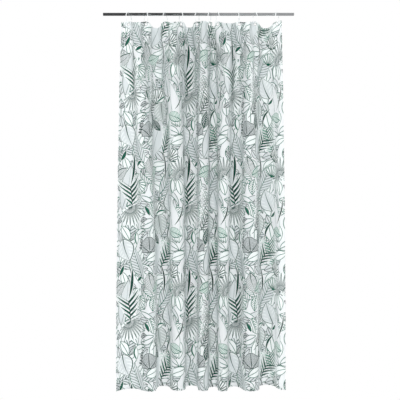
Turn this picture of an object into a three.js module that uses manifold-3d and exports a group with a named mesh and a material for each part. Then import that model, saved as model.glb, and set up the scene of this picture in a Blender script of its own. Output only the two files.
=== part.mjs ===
// Shower curtain hung on a straight rod: a pleated cloth with ten eyelets, a plastic ring
// through each eyelet, and the rod that the rings slide on.
// Millimetres. +X along the rod to the right, +Y towards the back, +Z up.
// The origin is on the rod's axis, half way along the rod.
import * as THREE from 'three';
import { mergeVertices } from 'three/addons/utils/BufferGeometryUtils.js';
import Module from 'manifold-3d';

const wasm = await Module();
wasm.setup();

// ---- rod ----
const ROD_DIAMETER = 16;
const ROD_WALL = 1;
const ROD_OVERHANG_LEFT = 139;    // rod beyond the first ring
const ROD_OVERHANG_RIGHT = 92;    // rod beyond the last ring
const PLUG_LENGTH = 14;
const ROD_SIDES = 32;

// ---- rings ----
const RING_SPAN = 809;            // first ring to last ring, as hung
const RING_GAPS = [95, 104, 87, 87, 68, 44, 117, 87, 120];   // hung spacing, shared over RING_SPAN
const RING_DIAMETER = 60;         // to the middle of the wire
const RING_WIRE = 3.6;
const RING_ON_ROD = 0.8;          // running clearance over the rod
// How far each ring is turned about Z, in degrees, positive with its front to the left.
const RING_TURNS = [24, -22, 20, -20, 22, 16, -14, 6, -18, 22];
const RING_STEPS = 20;
const WIRE_SIDES = 6;

// ---- eyelets ----
const EYELET_BORE = 14;
const EYELET_WALL = 0.6;
const EYELET_FLANGE = 20;         // outer diameter
const EYELET_FLANGE_THICKNESS = 0.9;
const EYELET_ON_RING = 0.8;       // play between the ring's wire and the top of the bore
const EYELET_SIDES = 14;
const SQUARE_EYELET = 7;          // the eyelet at a fold's crest, where the cloth is along the rod
const FIT_GAP = 0.3;              // between pieces that touch

// ---- cloth ----
const CLOTH_FLAT_WIDTH = 1800;
const CLOTH_DROP = 2000;
const CLOTH_THICKNESS = 0.8;
const EDGE_MARGIN = 45;           // first and last eyelet to the cloth's side edge
const HEADER_MARGIN = 14;         // eyelet centre to the cloth's top edge
const HEADER_DEPTH = 40;          // folded top hem, which keeps the same plan all the way down
const TOP_SAG = 0.2;              // dip of the top edge half way between two rings, per ring gap
const EYELET_FLAT = 13;           // flat cloth on each side of an eyelet, along the cloth
const EYELET_TURN = 28 * Math.PI / 180;   // most that the cloth turns from the rod at an eyelet
const HEADER_EDGES = [41, 22];    // side edges beyond the first and last ring, at the header
const HEM_LEFT = -441;            // side edges of the cloth at the bottom hem
const HEM_RIGHT = 471;
const HEADER_PINCH = 0.42;        // how much flatter a fold runs where a ring holds it
const HEADER_FIRST_CREST = { s: 9, beyond: 33 };   // on the cloth, and beyond the first ring
const STEEPEST = 86 * Math.PI / 180;   // the cloth never turns back on itself
const HEM_PULL = 2.2;             // power by which the header's plan gives way to the hem's
const PINCH_LEVEL = 1 / 3;        // level at which the pinch of the rings is lost
const HOLD_LEVEL = 0.4;           // level down to which the rings keep the cloth under the rod
const ROW_LEVELS = [0.07, 0.2, 0.4, 0.7, 1];   // rows of the solid below the header, as shares
const FOLD_STEPS = 12;
const EDGE_STEPS = 4;
const CLOTH_SAMPLE = 5;           // arc length between points of the worked plan
const SOFTEN_REACH = 2;           // samples on each side over which bends are rounded
const SEAM = 0.3;                 // between two stretches of cloth
const MOST_FOLD = 2.6;            // search range and rounds for the swing of a fold, in radians
const FOLD_ROUNDS = 40;
const FOLD_SAMPLES = 24;

const ringCount = RING_GAPS.length + 1;
const pitch = (CLOTH_FLAT_WIDTH - 2 * EDGE_MARGIN) / (ringCount - 1);   // eyelet to eyelet, flat
const gapScale = RING_SPAN / RING_GAPS.reduce((sum, gap) => sum + gap, 0);
const rodLength = ROD_OVERHANG_LEFT + RING_SPAN + ROD_OVERHANG_RIGHT;
const ringCentreZ = ROD_DIAMETER / 2 + RING_ON_ROD + RING_WIRE / 2 - RING_DIAMETER / 2;
const wireZ = ringCentreZ - RING_DIAMETER / 2;
const eyeletZ = wireZ + RING_WIRE / 2 + EYELET_ON_RING - EYELET_BORE / 2;
const clothTopZ = eyeletZ + HEADER_MARGIN;
const barrelDiameter = EYELET_BORE + 2 * EYELET_WALL;

// Where each ring stands along the rod.
const ringX = [ROD_OVERHANG_LEFT - rodLength / 2];
for (const gap of RING_GAPS) ringX.push(ringX.at(-1) + gap * gapScale);

// ---- the plan of the folds ----
// The cloth runs through knots: crests, where it is parallel to the rod, and turns between them.
// At the header the turns are the eyelets. Lower down the crests wander, as shares of the flat
// cloth (s) and of the hem's width (x).
const HEM_CRESTS = [
  { s: 0.061, x: 0.089, side: 1 },
  { s: 0.133, x: 0.202, side: -1 },
  { s: 0.222, x: 0.267, side: 1 },
  { s: 0.311, x: 0.367, side: -1 },
  { s: 0.4, x: 0.444, side: 1 },
  { s: 0.489, x: 0.515, side: -1 },
  { s: 0.556, x: 0.569, side: 1 },
  { s: 0.628, x: 0.628, side: -1 },
  { s: 0.706, x: 0.693, side: 1 },
  { s: 0.794, x: 0.793, side: -1 },
  { s: 0.906, x: 0.9, side: 1 },
];

function eyeletArc(ring) {
  return EDGE_MARGIN + ring * pitch;
}

// Crests at the header: one in the middle of each gap, and one at the square eyelet.
function headerCrests() {
  const crests = [{ s: HEADER_FIRST_CREST.s, x: ringX[0] - HEADER_FIRST_CREST.beyond }];
  for (let gap = 0; gap < ringCount - 1; gap++) {
    if (gap === SQUARE_EYELET) crests.push({ s: eyeletArc(gap), x: ringX[gap] });
    crests.push({ s: eyeletArc(gap) + pitch / 2, x: (ringX[gap] + ringX[gap + 1]) / 2 });
  }
  return crests;
}

// Turns at the header: the eyelets, and the two half-way points beside the square eyelet.
function headerTurns(crests) {
  const turns = [];
  for (let n = 0; n + 1 < crests.length; n++) {
    const ring = ringX.findIndex((x) => x > crests[n].x + 1 && x < crests[n + 1].x - 1);
    const middle = { s: (crests[n].s + crests[n + 1].s) / 2, x: (crests[n].x + crests[n + 1].x) / 2 };
    turns.push(ring < 0 ? middle : { s: eyeletArc(ring), x: ringX[ring] });
  }
  turns.push({ s: eyeletArc(ringCount - 1), x: ringX.at(-1) });
  return turns;
}

function mix(a, b, share) {
  return a + (b - a) * share;
}

// All the knots of one row, with level 0 at the header and 1 at the bottom hem.
function knotsAt(level) {
  const fall = 1 - (1 - level) ** HEM_PULL;
  const crestsTop = headerCrests();
  const turnsTop = headerTurns(crestsTop);
  const width = HEM_RIGHT - HEM_LEFT;
  const hem = HEM_CRESTS.map((c) => ({ s: c.s * CLOTH_FLAT_WIDTH, x: HEM_LEFT + c.x * width }));
  const end = { s: CLOTH_FLAT_WIDTH, x: HEM_RIGHT };
  const hemTurns = hem.map((c, n) => {
    const next = hem[n + 1] ?? end;
    return { s: (c.s + next.s) / 2, x: (c.x + next.x) / 2 };
  });
  const topEdges = [ringX[0] - HEADER_EDGES[0], ringX.at(-1) + HEADER_EDGES[1]];
  const knots = [{ s: 0, x: mix(topEdges[0], HEM_LEFT, fall), crest: false, side: 1 }];
  hem.forEach((c, n) => {
    const side = HEM_CRESTS[n].side;
    knots.push({ s: mix(crestsTop[n].s, c.s, fall), x: mix(crestsTop[n].x, c.x, fall), crest: true, side });
    const turn = { s: mix(turnsTop[n].s, hemTurns[n].s, fall), x: mix(turnsTop[n].x, hemTurns[n].x, fall) };
    knots.push({ ...turn, crest: false, side });
  });
  knots.push({ s: CLOTH_FLAT_WIDTH, x: mix(topEdges[1], HEM_RIGHT, fall), crest: true, side: -1 });
  return knots;
}

// Angle of the cloth to the rod, a share of the way from a crest to a turn.
function foldAngle(share, amount, pinch) {
  const wave = Math.sin(share * Math.PI / 2) + pinch * Math.sin(share * Math.PI * 1.5);
  return Math.min(amount * wave, STEEPEST);
}

// The fold amount whose cloth of the given length spans the given width.
function foldAmount(length, width, pinch) {
  let low = 0;
  let high = MOST_FOLD;
  for (let n = 0; n < FOLD_ROUNDS; n++) {
    const amount = (low + high) / 2;
    let sum = 0;
    for (let k = 0; k < FOLD_SAMPLES; k++) {
      sum += Math.cos(foldAngle((k + 0.5) / FOLD_SAMPLES, amount, pinch));
    }
    if (sum / FOLD_SAMPLES * length > width) low = amount;
    else high = amount;
  }
  return low;
}

// The angle of the cloth at every sample along one row.
function rowAngles(knots, pinch) {
  const count = Math.round(CLOTH_FLAT_WIDTH / CLOTH_SAMPLE);
  const angles = new Array(count);
  for (let n = 0; n + 1 < knots.length; n++) {
    const [a, b] = [knots[n], knots[n + 1]];
    const crest = a.crest ? a : b;
    const heading = a.crest ? -crest.side : crest.side;
    const amount = foldAmount(b.s - a.s, b.x - a.x, pinch);
    for (let k = 0; k < count; k++) {
      const s = (k + 0.5) * CLOTH_FLAT_WIDTH / count;
      if (s < a.s || s >= b.s) continue;
      const share = (s - a.s) / (b.s - a.s);
      angles[k] = heading * foldAngle(a.crest ? share : 1 - share, amount, pinch);
    }
  }
  return angles.map((_, k) => {
    let sum = 0;
    for (let j = -SOFTEN_REACH; j <= SOFTEN_REACH; j++) {
      sum += angles[Math.min(Math.max(k + j, 0), count - 1)];
    }
    return sum / (2 * SOFTEN_REACH + 1);
  });
}

// Linear value at x through sorted points [x, value].
function through(points, x) {
  let n = 1;
  while (n < points.length - 1 && points[n][0] < x) n++;
  const [a, b] = [points[n - 1], points[n]];
  return mix(a[1], b[1], Math.min(Math.max((x - a[0]) / (b[0] - a[0]), 0), 1));
}

// One row of cloth seen from above: points {s, x, y}, with x always growing.
function planRow(level) {
  const knots = knotsAt(level);
  const pinch = HEADER_PINCH * Math.max(0, 1 - level / PINCH_LEVEL);
  const angles = rowAngles(knots, pinch);
  const step = CLOTH_FLAT_WIDTH / angles.length;
  const row = [{ s: 0, x: 0, y: 0 }];
  for (const angle of angles) {
    const last = row.at(-1);
    row.push({ s: last.s + step, x: last.x + step * Math.cos(angle), y: last.y + step * Math.sin(angle) });
  }
  const xs = row.map((p) => [p.s, p.x]);
  const ys = row.map((p) => [p.s, p.y]);
  const xOff = knots.map((k) => [k.s, k.x - through(xs, k.s)]);
  const held = ringX.map((_, n) => [eyeletArc(n), -through(ys, eyeletArc(n))]);
  const mean = -row.reduce((sum, p) => sum + p.y, 0) / row.length;
  const hold = Math.max(0, 1 - level / HOLD_LEVEL);
  for (const p of row) {
    p.x += through(xOff, p.s);
    p.y += mix(mean, through(held, p.s), hold);
  }
  return row;
}

// The stretch of a row between two places along the rod, in equal steps of cloth.
function stretchOfRow(row, fromX, toX, steps) {
  const arcs = row.map((p) => [p.x, p.s]);
  const [from, to] = [through(arcs, fromX), through(arcs, toX)];
  const xs = row.map((p) => [p.s, p.x]);
  const ys = row.map((p) => [p.s, p.y]);
  const at = (s) => new THREE.Vector2(through(xs, s), through(ys, s));
  const points = [];
  for (let n = 0; n <= steps; n++) {
    const s = mix(from, to, n / steps);
    const along = at(s + CLOTH_SAMPLE / 2).sub(at(s - CLOTH_SAMPLE / 2)).normalize();
    points.push({ place: at(s), along });
  }
  return points;
}

const headerRow = planRow(0);

// Direction of the cloth in plan where a ring holds it.
function eyeletDirection(ring) {
  const x = ringX[ring];
  const angle = stretchOfRow(headerRow, x - 0.5, x + 0.5, 2)[1].along.angle();
  const turn = Math.atan2(Math.sin(angle), Math.cos(angle));
  const held = THREE.MathUtils.clamp(turn, -EYELET_TURN, EYELET_TURN);
  return new THREE.Vector2(Math.cos(held), Math.sin(held));
}

// Makes the cloth run straight through an eyelet, from the seam there out to EYELET_FLAT.
function straighten(points, ring, first) {
  const along = eyeletDirection(ring);
  const side = first ? 1 : -1;
  const [end, next] = first ? [0, 1] : [points.length - 1, points.length - 2];
  const at = (reach) => new THREE.Vector2(ringX[ring], 0).addScaledVector(along, side * reach);
  points[end] = { place: at(SEAM / 2 / along.x), along };
  points[next] = { place: at(EYELET_FLAT), along };
}

// ---- solids ----
function toManifold(geometry) {
  const bare = geometry.clone();
  for (const name of ['normal', 'uv']) bare.deleteAttribute(name);
  const merged = mergeVertices(bare, 1e-4);
  const vertProperties = new Float32Array(merged.attributes.position.array);
  const triVerts = new Uint32Array(merged.index.array);
  return new wasm.Manifold(new wasm.Mesh({ numProp: 3, vertProperties, triVerts }));
}

function toGeometry(manifold) {
  const mesh = manifold.getMesh();
  const geometry = new THREE.BufferGeometry();
  geometry.setAttribute('position', new THREE.BufferAttribute(new Float32Array(mesh.vertProperties), 3));
  geometry.setIndex(new THREE.BufferAttribute(new Uint32Array(mesh.triVerts), 1));
  geometry.computeVertexNormals();
  return geometry;
}

// A closed sheet of CLOTH_THICKNESS through rows of plan points, top row first.
function sheetGeometry(rows) {
  const across = rows[0].length;
  const positions = [];
  const half = CLOTH_THICKNESS / 2;
  for (const offset of [-half, half]) {
    for (const row of rows) {
      for (const { place, along, z } of row) {
        positions.push(place.x - along.y * offset, place.y + along.x * offset, z);
      }
    }
  }
  const back = rows.length * across;
  const index = [];
  const quad = (a, b, c, d) => index.push(a, b, c, a, c, d);
  for (let r = 0; r + 1 < rows.length; r++) {
    for (let c = 0; c + 1 < across; c++) {
      const a = r * across + c;
      quad(a, a + across, a + across + 1, a + 1);
      quad(back + a, back + a + 1, back + a + across + 1, back + a + across);
    }
    const [left, right] = [r * across, r * across + across - 1];
    quad(left, back + left, back + left + across, left + across);
    quad(right, right + across, back + right + across, back + right);
  }
  for (let c = 0; c + 1 < across; c++) {
    const bottom = (rows.length - 1) * across + c;
    quad(c, c + 1, back + c + 1, back + c);
    quad(bottom, back + bottom, back + bottom + 1, bottom + 1);
  }
  const geometry = new THREE.BufferGeometry();
  geometry.setAttribute('position', new THREE.Float32BufferAttribute(positions, 3));
  geometry.setIndex(index);
  return geometry;
}

// The round hole that an eyelet's barrel goes through.
function eyeletHole(ring) {
  const cutter = new THREE.CylinderGeometry(1, 1, 40, EYELET_SIDES);
  const radius = barrelDiameter / 2 + FIT_GAP;
  cutter.scale(radius, 1, radius);
  const direction = eyeletDirection(ring);
  cutter.rotateZ(Math.atan2(direction.y, direction.x));
  cutter.translate(ringX[ring], 0, eyeletZ);
  return toManifold(cutter);
}

// The cloth between two places along the rod, hung from the rings named.
function clothGeometry(fromX, toX, steps, leftRing, rightRing) {
  const rowsZ = [clothTopZ, clothTopZ - HEADER_DEPTH];
  const levels = [0, 0];
  for (const level of ROW_LEVELS) {
    rowsZ.push(clothTopZ - mix(HEADER_DEPTH, CLOTH_DROP, level));
    levels.push(level);
  }
  const rows = levels.map((level, r) => {
    const points = stretchOfRow(r < 2 ? headerRow : planRow(level), fromX, toX, steps);
    if (r < 2 && leftRing !== null) straighten(points, leftRing, true);
    if (r < 2 && rightRing !== null) straighten(points, rightRing, false);
    const sagging = r === 0 && leftRing !== null && rightRing !== null;
    const deepest = sagging ? TOP_SAG * (ringX[rightRing] - ringX[leftRing]) : 0;
    return points.map((point, n) => {
      const share = Math.min(Math.max((n - 1) / (points.length - 3), 0), 1);
      return { ...point, z: rowsZ[r] - deepest * Math.sin(share * Math.PI) };
    });
  });
  let solid = toManifold(sheetGeometry(rows));
  for (const ring of [leftRing, rightRing]) {
    if (ring !== null) solid = solid.subtract(eyeletHole(ring));
  }
  return toGeometry(solid);
}

// ---- meshes ----
function mesh(name, geometry, color, roughness, metalness, opacity = 1) {
  const material = new THREE.MeshStandardMaterial({ color, roughness, metalness });
  material.transparent = opacity < 1;
  material.opacity = opacity;
  const made = new THREE.Mesh(geometry, material);
  made.name = name;
  return made;
}

function lathe(profile, sides) {
  return new THREE.LatheGeometry(profile.map(([r, y]) => new THREE.Vector2(r, y)), sides);
}

function label(index) {
  return String(index + 1).padStart(2, '0');
}

function makeRod() {
  const rod = new THREE.Group();
  const outer = ROD_DIAMETER / 2;
  const inner = outer - ROD_WALL;
  const half = rodLength / 2;
  const wall = [[inner, -half], [outer, -half], [outer, half], [inner, half], [inner, -half]];
  const tube = lathe(wall, ROD_SIDES);
  rod.add(mesh('rod_tube', tube.rotateZ(-Math.PI / 2), 0x8d9092, 0.22, 1));
  for (const [side, name] of [[-1, 'rod_plug_left'], [1, 'rod_plug_right']]) {
    const plug = new THREE.CylinderGeometry(inner - FIT_GAP, inner - FIT_GAP, PLUG_LENGTH, ROD_SIDES);
    const made = mesh(name, plug.rotateZ(-Math.PI / 2), 0x6e7072, 0.5, 0);
    made.position.x = side * (half - PLUG_LENGTH / 2);
    rod.add(made);
  }
  return rod;
}

function makeRing(ring) {
  const torus = new THREE.TorusGeometry(RING_DIAMETER / 2, RING_WIRE / 2, WIRE_SIDES, RING_STEPS);
  torus.rotateY(Math.PI / 2);
  const made = mesh(`ring_${label(ring)}`, torus, 0xf0f2f2, 0.3, 0, 0.8);
  made.position.set(ringX[ring], 0, ringCentreZ);
  made.rotation.z = -THREE.MathUtils.degToRad(RING_TURNS[ring]);
  return made;
}

// The eyelet's two halves: a flanged barrel from the front and a washer set over it at the back.
function makeEyelet(ring) {
  const eyelet = new THREE.Group();
  const bore = EYELET_BORE / 2;
  const barrel = barrelDiameter / 2;
  const rim = EYELET_FLANGE / 2;
  const face = CLOTH_THICKNESS / 2 + FIT_GAP;
  const front = face + EYELET_FLANGE_THICKNESS;
  const flange = [[bore, -front], [rim, -front], [rim, -face], [barrel, -face]];
  const flanged = [...flange, [barrel, front], [bore, front]];
  const washer = [[barrel + FIT_GAP, face], [rim, face], [rim, front], [barrel + FIT_GAP, front]];
  for (const [name, profile] of [['eyelet_front', flanged], ['eyelet_washer', washer]]) {
    const geometry = lathe([...profile, profile[0]], EYELET_SIDES);
    eyelet.add(mesh(`${name}_${label(ring)}`, geometry, 0xdfe3e2, 0.4, 0));
  }
  const direction = eyeletDirection(ring);
  eyelet.position.set(ringX[ring], 0, eyeletZ);
  eyelet.rotation.z = Math.atan2(direction.y, direction.x);
  return eyelet;
}

function makeCloth() {
  const cloth = new THREE.Group();
  const seam = SEAM / 2;
  const last = ringCount - 1;
  const add = (name, geometry) => cloth.add(mesh(name, geometry, 0xd3dad8, 0.85, 0));
  const leftEnd = headerRow[0].x - EDGE_MARGIN * 2;
  const rightEnd = headerRow.at(-1).x + EDGE_MARGIN * 2;
  add('cloth_edge_left', clothGeometry(leftEnd, ringX[0] - seam, EDGE_STEPS, null, 0));
  for (let ring = 0; ring < last; ring++) {
    const geometry = clothGeometry(ringX[ring] + seam, ringX[ring + 1] - seam, FOLD_STEPS, ring, ring + 1);
    add(`cloth_fold_${label(ring)}`, geometry);
  }
  add('cloth_edge_right', clothGeometry(ringX[last] + seam, rightEnd, EDGE_STEPS, last, null));
  return cloth;
}

const group = new THREE.Group();
group.add(makeRod());
for (let ring = 0; ring < ringCount; ring++) {
  group.add(makeRing(ring));
  group.add(makeEyelet(ring));
}
group.add(makeCloth());

export default group;
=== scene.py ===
import math

import bmesh
import bpy
import numpy as np
from mathutils import Matrix, Vector


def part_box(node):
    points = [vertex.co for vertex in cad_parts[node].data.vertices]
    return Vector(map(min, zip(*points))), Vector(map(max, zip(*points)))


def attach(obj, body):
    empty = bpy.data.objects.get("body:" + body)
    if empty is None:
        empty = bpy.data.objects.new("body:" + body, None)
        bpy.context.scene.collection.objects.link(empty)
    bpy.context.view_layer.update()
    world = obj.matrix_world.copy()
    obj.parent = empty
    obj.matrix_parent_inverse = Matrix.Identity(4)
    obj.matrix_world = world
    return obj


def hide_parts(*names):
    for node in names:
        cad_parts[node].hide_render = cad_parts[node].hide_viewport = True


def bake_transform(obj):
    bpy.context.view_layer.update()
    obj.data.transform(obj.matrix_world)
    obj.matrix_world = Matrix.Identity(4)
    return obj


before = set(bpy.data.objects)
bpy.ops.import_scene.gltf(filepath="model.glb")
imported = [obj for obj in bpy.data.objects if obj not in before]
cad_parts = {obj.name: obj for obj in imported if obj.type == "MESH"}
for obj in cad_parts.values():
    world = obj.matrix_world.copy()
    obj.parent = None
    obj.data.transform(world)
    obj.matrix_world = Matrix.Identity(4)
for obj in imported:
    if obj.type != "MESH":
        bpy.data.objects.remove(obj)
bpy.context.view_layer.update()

# Pleated, printed shower curtain: cloth, eyelets, rings and rod.
# Metres. +X to the right along the rod, +Y towards the back, +Z up, origin on the rod's axis.

MM = 0.001


# ---- places read from the frame

def numbered(kind):
    return sorted(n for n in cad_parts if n.startswith(kind + "_") and n[-2:].isdigit())


def middle(node):
    low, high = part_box(node)
    return (low + high) / 2


def points_of(node):
    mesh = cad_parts[node].data
    co = np.zeros(len(mesh.vertices) * 3)
    mesh.vertices.foreach_get("co", co)
    return co.reshape(-1, 3)


def turn_in_plan(node):
    """Angle from +X of the long way of a flat, upright piece, seen from above."""
    co = points_of(node)
    x, y = co[:, 0] - co[:, 0].mean(), co[:, 1] - co[:, 1].mean()
    return 0.5 * math.atan2(2 * (x * y).mean(), (x * x).mean() - (y * y).mean())


RINGS = numbered("ring")
RING_X = [middle(n).x for n in RINGS]
RING_Z = middle(RINGS[0]).z
RING_TURN = [turn_in_plan(n) for n in RINGS]
EYELET_TURN = [turn_in_plan(n) for n in numbered("eyelet_washer")]
EYELET_Z = middle("eyelet_washer_01").z
CLOTH_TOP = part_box("cloth_edge_left")[1].z
CLOTH_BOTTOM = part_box("cloth_edge_left")[0].z
CLOTH_DROP = CLOTH_TOP - CLOTH_BOTTOM
HEM_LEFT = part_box("cloth_edge_left")[0].x
HEM_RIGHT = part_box("cloth_edge_right")[1].x
ROD_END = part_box("rod_tube")[1].x
ROD_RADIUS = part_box("rod_tube")[1].z

# ---- cloth sizes

FLAT_WIDTH = 1.8
EDGE_MARGIN = 0.045
PITCH = (FLAT_WIDTH - 2 * EDGE_MARGIN) / (len(RINGS) - 1)
TOP_HEM = 0.040
BOTTOM_HEM = 0.025
SIDE_HEM = 0.012
HEM_THICKNESS = 0.0011
CLOTH_THICKNESS = 0.0003
THROUGH = 0.62             # share of the light on the cloth that goes through it
SAMPLE = 0.0025            # step of the plan along the flat cloth

HEADER_EDGES = (0.041, 0.022)           # cloth beyond the first and last rings, along the rod
HEADER_FIRST_CREST = (0.009, 0.033)     # its flat place, and how far it is left of the first ring
HEADER_PINCH = 0.42        # how much tighter the folds turn at the top
PINCH_LEVEL = 1 / 3        # where that has died away, as a share of the way down
HOLD_LEVEL = 0.4           # where the cloth hangs free of the line of the eyelets
HOLD_HEMS = 2.2            # how far down the cloth is straight at its eyelets, in top hems
HOLD_FADE = 0.013          # distance over which that fades along the flat cloth
HOLD_END = 1.9             # where it ends, in the same measure
HEM_PULL = 2.2             # how soon the folds leave the plan of the top for that of the hem
SQUARE_EYELET = 7          # the eyelet that sits on a crest
STEEPEST = math.radians(86)
MOST_FOLD, FOLD_ROUNDS, FOLD_SAMPLES = 2.6, 40, 24
SOFTEN_REACH = 4

TOP_SAG = 0.19             # dip of the top edge between two rings, per ring gap
SAG_SHARPNESS = 1.5
SAG_DEPTH = 0.25           # depth over which the dip dies away
SLACK_DEPTH = 0.12         # depth at which the small ripples are full
LONG_RIPPLE, SHORT_RIPPLE = 1.3 * MM, 0.5 * MM
WARPS = (0.05, 0.03)       # how far the ripples wander, for each of the two drifts

# Waves of the ripple: turns along the flat cloth and down it, in radians per metre.
WAVES = {"drift": (3.7, 5.1), "cross drift": (-9.1, 11.3), "long": (61, 0),
         "long swell": (7.9, 4.3), "short": (117, 9), "short swell": (-21, 12.7)}

# Crests of the folds at the bottom hem: share of the flat cloth, share of the hem's width, and
# 1 for a fold to the back or -1 for a fold to the front.
HEM_CRESTS = [
    (0.061, 0.089, 1), (0.133, 0.202, -1), (0.222, 0.267, 1), (0.311, 0.367, -1),
    (0.400, 0.444, 1), (0.489, 0.515, -1), (0.556, 0.569, 1), (0.628, 0.628, -1),
    (0.706, 0.693, 1), (0.794, 0.793, -1), (0.906, 0.900, 1),
]


# ---- camera, floor and light

SENSOR_WIDTH = 36
CAMERA_DISTANCE = 4.3
VIEW_HEIGHT = 2.18
VIEW_CENTRE = (0.008, -1.012)
VIEW_DEPTH = 50
FLOOR_SIZE = 12
FLOOR_DROP = 0.35
FLOOR_COLOR = (0.85, 0.85, 0.85, 1)
AMBIENT = 1.5
MIRRORED_RAMP = (-0.16, 0.14, 0.09, 0.62)   # from and to across the view, and brightness
LIT_PLACE = Vector((0, 0, -1.0))

# The two soft lights: place, width and height, and watts.
LIGHTS = {"key": ((-2.8, -3.6, 0.4), (2.4, 3.0), 24),
          "front": ((1.2, -4.8, -0.8), (3.0, 3.0), 14)}


def linear(red, green, blue):
    """A colour given in the usual 0 to 255 screen values."""
    values = [c / 255 for c in (red, green, blue)]
    return (*[c / 12.92 if c <= 0.04045 else ((c + 0.055) / 1.055) ** 2.4 for c in values], 1.0)


def make_camera():
    data = bpy.data.cameras.new("camera")
    data.sensor_width = SENSOR_WIDTH
    data.lens = SENSOR_WIDTH * CAMERA_DISTANCE / VIEW_HEIGHT
    data.clip_end = VIEW_DEPTH
    camera = bpy.data.objects.new("camera", data)
    camera.location = (VIEW_CENTRE[0], -CAMERA_DISTANCE, VIEW_CENTRE[1])
    camera.rotation_euler = (math.pi / 2, 0, 0)
    bpy.context.scene.collection.objects.link(camera)
    bpy.context.scene.camera = camera


def make_lights():
    for name, (place, size, watts) in LIGHTS.items():
        data = bpy.data.lights.new(name, "AREA")
        data.shape = "RECTANGLE"
        data.size, data.size_y = size
        data.energy = watts
        light = bpy.data.objects.new(name, data)
        light.location = place
        light.rotation_euler = (LIT_PLACE - Vector(place)).to_track_quat("-Z", "Y").to_euler()
        light.visible_glossy = False
        bpy.context.scene.collection.objects.link(light)


def make_world():
    """White all round, but what polished metal mirrors runs from dark at the left to pale."""
    world = bpy.data.worlds.new("studio")
    bpy.context.scene.world = world
    world.use_nodes = True
    tree = world.node_tree
    tree.nodes.clear()
    ray = tree.nodes.new("ShaderNodeLightPath")
    x, _ = split(tree, Wire(tree, tree.nodes.new("ShaderNodeTexCoord").outputs["Generated"]))
    ramp = tree.nodes.new("ShaderNodeMapRange")
    for label, value in zip(("From Min", "From Max", "To Min", "To Max"), MIRRORED_RAMP):
        ramp.inputs[label].default_value = value
    feed(ramp.inputs["Value"], x)
    strengths = (AMBIENT, Wire(tree, ramp.outputs[0]), 1.0)
    plain, mirrored, seen = [tree.nodes.new("ShaderNodeBackground") for _ in strengths]
    for node, strength in zip((plain, mirrored, seen), strengths):
        node.inputs["Color"].default_value = (1, 1, 1, 1)
        feed(node.inputs["Strength"], strength)
    by_gloss = mixed_shader(tree, Wire(tree, ray.outputs["Is Glossy Ray"]), plain, mirrored)
    by_eye = mixed_shader(tree, Wire(tree, ray.outputs["Is Camera Ray"]), by_gloss, seen)
    tree.links.new(by_eye.outputs[0], tree.nodes.new("ShaderNodeOutputWorld").inputs[0])


def mixed_shader(tree, share, first, second):
    node = tree.nodes.new("ShaderNodeMixShader")
    feed(node.inputs[0], share)
    tree.links.new(first.outputs[0], node.inputs[1])
    tree.links.new(second.outputs[0], node.inputs[2])
    return node


def make_floor():
    """A plain white floor, as bright to the eye as the white behind it."""
    form = bmesh.new()
    bmesh.ops.create_grid(form, x_segments=1, y_segments=1, size=FLOOR_SIZE)
    bmesh.ops.translate(form, verts=form.verts, vec=(0, 0, CLOTH_BOTTOM - FLOOR_DROP))
    floor = as_object(form, "floor")
    material = bpy.data.materials.new("pale floor")
    material.use_nodes = True
    tree = material.node_tree
    tree.nodes.clear()
    matt = tree.nodes.new("ShaderNodeBsdfDiffuse")
    matt.inputs["Color"].default_value = FLOOR_COLOR
    lit = tree.nodes.new("ShaderNodeEmission")
    ray = tree.nodes.new("ShaderNodeLightPath")
    both = mixed_shader(tree, Wire(tree, ray.outputs["Is Camera Ray"]), matt, lit)
    tree.links.new(both.outputs[0], tree.nodes.new("ShaderNodeOutputMaterial").inputs[0])
    floor.data.materials.append(material)
    floor.visible_glossy = False


# ---- finishing pieces

def as_object(form, name):
    """A new smooth object in the scene from a bmesh, which it uses up."""
    data = bpy.data.meshes.new(name)
    form.to_mesh(data)
    form.free()
    for face in data.polygons:
        face.use_smooth = True
    made = bpy.data.objects.new(name, data)
    bpy.context.scene.collection.objects.link(made)
    return made


def finish_piece(piece, material, slot, body, *replaced):
    piece.data.materials.append(material)
    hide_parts(*replaced)
    if body:
        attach(piece, body)


# ---- node trees written as sums

def sum_of(operation):
    return lambda wire, *others: wire.math(operation, *others)


class Wire:
    """A value in a node tree that can be added, multiplied and compared like a number."""

    def __init__(self, tree, socket):
        self.tree, self.socket = tree, socket

    def math(self, operation, *others):
        node = self.tree.nodes.new("ShaderNodeMath")
        node.operation = operation
        for place, value in zip(node.inputs, (self, *others)):
            feed(place, value)
        return Wire(self.tree, node.outputs[0])

    __add__, __sub__ = sum_of("ADD"), sum_of("SUBTRACT")
    __mul__, __truediv__ = sum_of("MULTIPLY"), sum_of("DIVIDE")
    __lt__, __gt__ = sum_of("LESS_THAN"), sum_of("GREATER_THAN")
    most, least, abs = sum_of("MAXIMUM"), sum_of("MINIMUM"), sum_of("ABSOLUTE")
    fract, sin, root = sum_of("FRACT"), sum_of("SINE"), sum_of("SQRT")

    def less_from(self, start):
        """start minus this value."""
        return self.math("MULTIPLY", -1) + start


def feed(socket, value):
    if isinstance(value, Wire):
        value.tree.links.new(value.socket, socket)
    else:
        socket.default_value = value


def paint(tree, share, under, over):
    """The colour over laid on the colour under where share is 1."""
    node = tree.nodes.new("ShaderNodeMix")
    node.data_type = "RGBA"
    for socket, value in ((node.inputs[0], share), (node.inputs[6], under), (node.inputs[7], over)):
        feed(socket, value)
    return Wire(tree, node.outputs[2])


def vector_node(tree, operation, *values, output="Vector"):
    node = tree.nodes.new("ShaderNodeVectorMath")
    node.operation = operation
    for place, value in zip(node.inputs, values):
        feed(place, value)
    return Wire(tree, node.outputs[output])


def dot(tree, first, second):
    return vector_node(tree, "DOT_PRODUCT", first, second, output="Value")


def split(tree, vector):
    """The X and Y of a vector."""
    return dot(tree, vector, (1, 0, 0)), dot(tree, vector, (0, 1, 0))


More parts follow.
